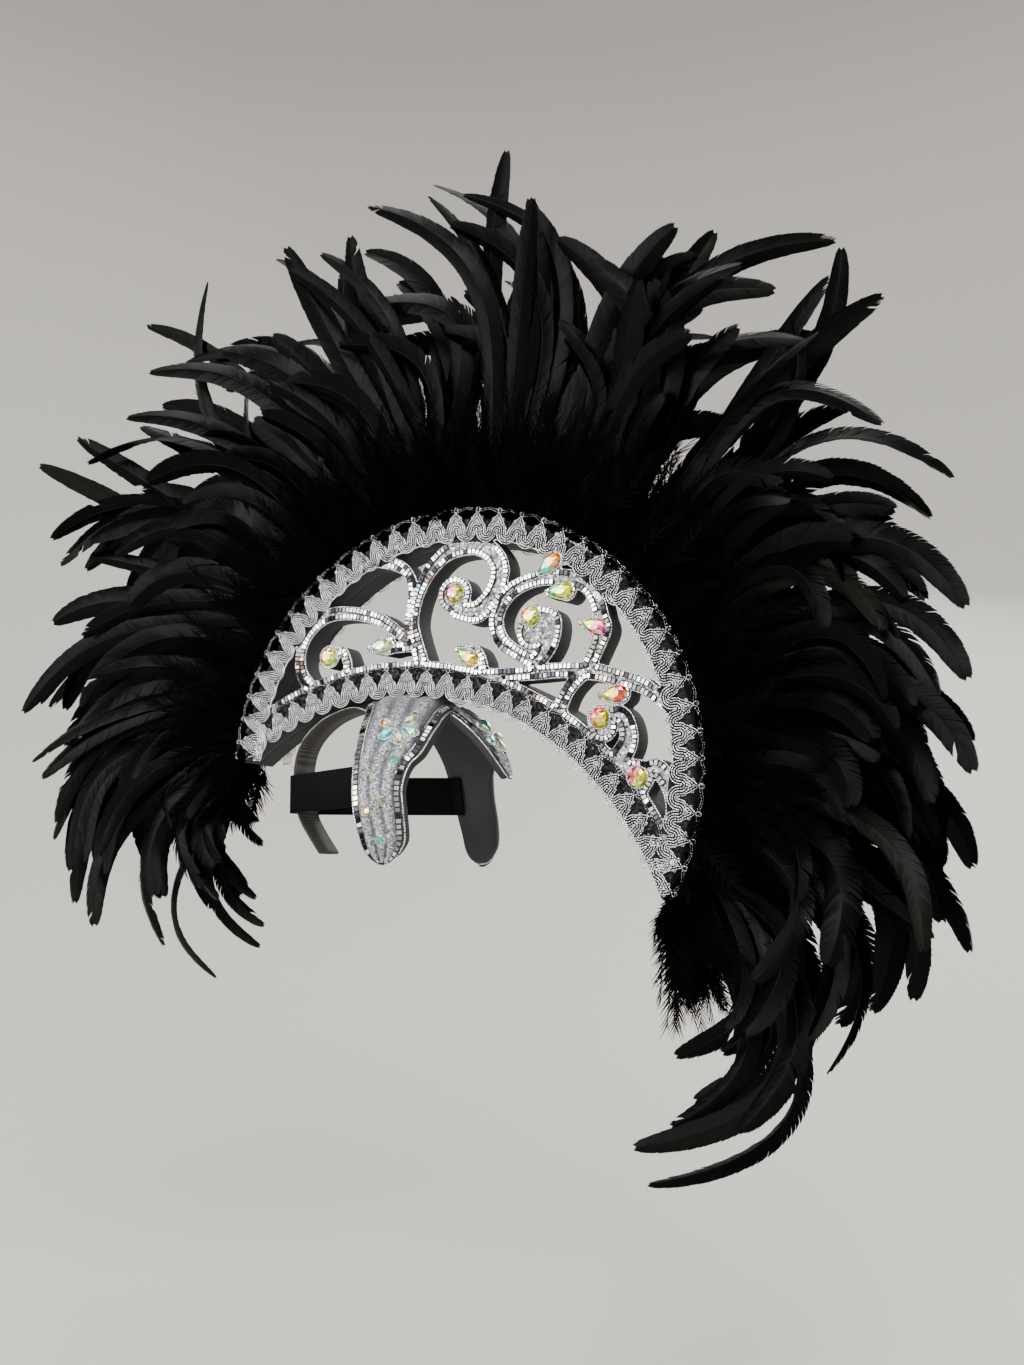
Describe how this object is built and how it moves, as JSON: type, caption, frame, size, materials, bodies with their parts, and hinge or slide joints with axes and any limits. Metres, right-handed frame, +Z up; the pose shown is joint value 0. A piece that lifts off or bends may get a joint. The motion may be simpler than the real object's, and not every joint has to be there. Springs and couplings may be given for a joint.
{
  "type": "feathered headdress",
  "caption": "Tall feathered headdress: padded silver cap, crescent board with pierced scrolls, lace and cut stones, and a wide fan of black tail feathers.",
  "frame": {"origin": "on the crown of the head, on the middle line, at the inner face of the cap where it sits", "axes": "+X ahead of the wearer, +Y to the wearer's left, +Z up"},
  "size_m": [0.9842, 0.1964, 0.888],
  "materials": {
    "black_foam": "matte foam board under silver glitter cloth",
    "silver_lace": "bright metallic cord lace",
    "silver_cloth": "padded glitter cloth",
    "crystal": "foil-backed cut stone with a rainbow coat",
    "grey_band": "satin covered band",
    "black_elastic": "woven elastic",
    "black_feather": "dyed tail feathers with a soft sheen"
  },
  "bodies": {
    "root": {"crest_board": "black_foam", "crest_drop_1": "crystal", "crest_drop_2": "crystal", "crest_drop_3": "crystal", "crest_drop_4": "crystal", "crest_drop_5": "crystal", "crest_drop_6": "crystal", "crest_ring": "black_foam", "crest_round_1": "crystal", "crest_round_2": "crystal", "crest_round_3": "crystal", "crest_round_4": "crystal", "crest_round_5": "crystal", "feather_fan_1": "black_feather", "feather_fan_2": "black_feather", "feather_fan_3": "black_feather", "feather_fan_4": "black_feather", "feather_fan_5": "black_feather", "feather_fan_6": "black_feather", "feather_fan_7": "black_feather", "feather_fan_8": "black_feather", "feather_fan_9": "black_feather", "front_lobe": "silver_cloth", "front_lobe_petal_1": "crystal", "front_lobe_petal_2": "crystal", "front_lobe_petal_3": "crystal", "front_lobe_petal_4": "crystal", "front_lobe_petal_5": "crystal", "inner_lace_far": "silver_lace", "inner_lace_near": "silver_lace", "left_leaf": "silver_cloth", "left_leaf_petal_1": "crystal", "left_leaf_petal_2": "crystal", "left_leaf_petal_3": "crystal", "left_leaf_petal_4": "crystal", "left_leaf_petal_5": "crystal", "left_leaf_round_1": "crystal", "left_leaf_round_2": "crystal", "left_leaf_round_3": "crystal", "left_leaf_round_4": "crystal", "left_leaf_round_5": "crystal", "outer_lace_far": "silver_lace", "outer_lace_near": "silver_lace", "rear_hoop": "grey_band", "rear_strap": "black_elastic", "right_leaf": "silver_cloth", "right_leaf_petal_1": "crystal", "right_leaf_petal_2": "crystal", "right_leaf_petal_3": "crystal", "right_leaf_petal_4": "crystal", "right_leaf_petal_5": "crystal", "right_leaf_round_1": "crystal", "right_leaf_round_2": "crystal", "right_leaf_round_3": "crystal", "right_leaf_round_4": "crystal", "right_leaf_round_5": "crystal"}
  },
  "joints": []
}
